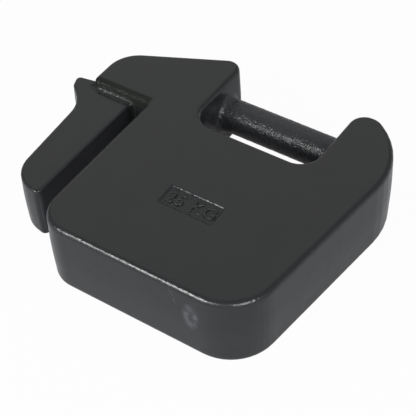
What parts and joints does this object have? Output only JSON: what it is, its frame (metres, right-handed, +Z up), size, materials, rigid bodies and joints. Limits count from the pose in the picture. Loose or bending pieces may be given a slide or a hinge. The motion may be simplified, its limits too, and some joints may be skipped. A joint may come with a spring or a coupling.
{
  "type": "tractor suitcase weight",
  "caption": "Thick iron ballast block with a slotted hook leg that drops over a carrier plate, and a lifting bar cast across the hand opening at its top edge.",
  "frame": {"origin": "on the floor under the middle of the bounding box, with the weight lying on its back face", "axes": "+X along the base edge from the hook leg to the plain side, +Y from the base edge to the lifting bar, +Z up through the thickness"},
  "size_m": [0.3056, 0.251, 0.071],
  "materials": {
    "black_paint": "semi-gloss black paint over rough sand-cast iron"
  },
  "bodies": {
    "root": {"weight_casting": "black_paint"}
  },
  "joints": []
}
